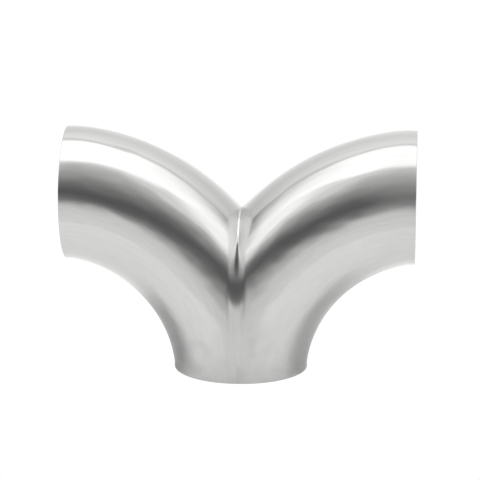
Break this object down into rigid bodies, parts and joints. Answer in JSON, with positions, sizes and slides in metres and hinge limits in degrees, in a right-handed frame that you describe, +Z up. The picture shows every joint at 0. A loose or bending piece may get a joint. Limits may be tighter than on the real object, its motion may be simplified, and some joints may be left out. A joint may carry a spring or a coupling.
{
  "type": "weld end double bend",
  "caption": "Polished thin-walled tube fitting: opposed short bends share a common outlet, to join or split a flow, with plain square ends for butt welding.",
  "frame": {"origin": "middle of the outlet's face, which is the lowest plane of the part", "axes": "+Z up out of the outlet towards the arms, +X along the arms; the part is its own mirror image in the planes x = 0 and y = 0"},
  "size_m": [0.138, 0.053, 0.0965],
  "materials": {
    "polished_steel": "stainless steel, ground and fine polished to a soft gloss"
  },
  "bodies": {
    "root": {"double_bend": "polished_steel"}
  },
  "joints": []
}
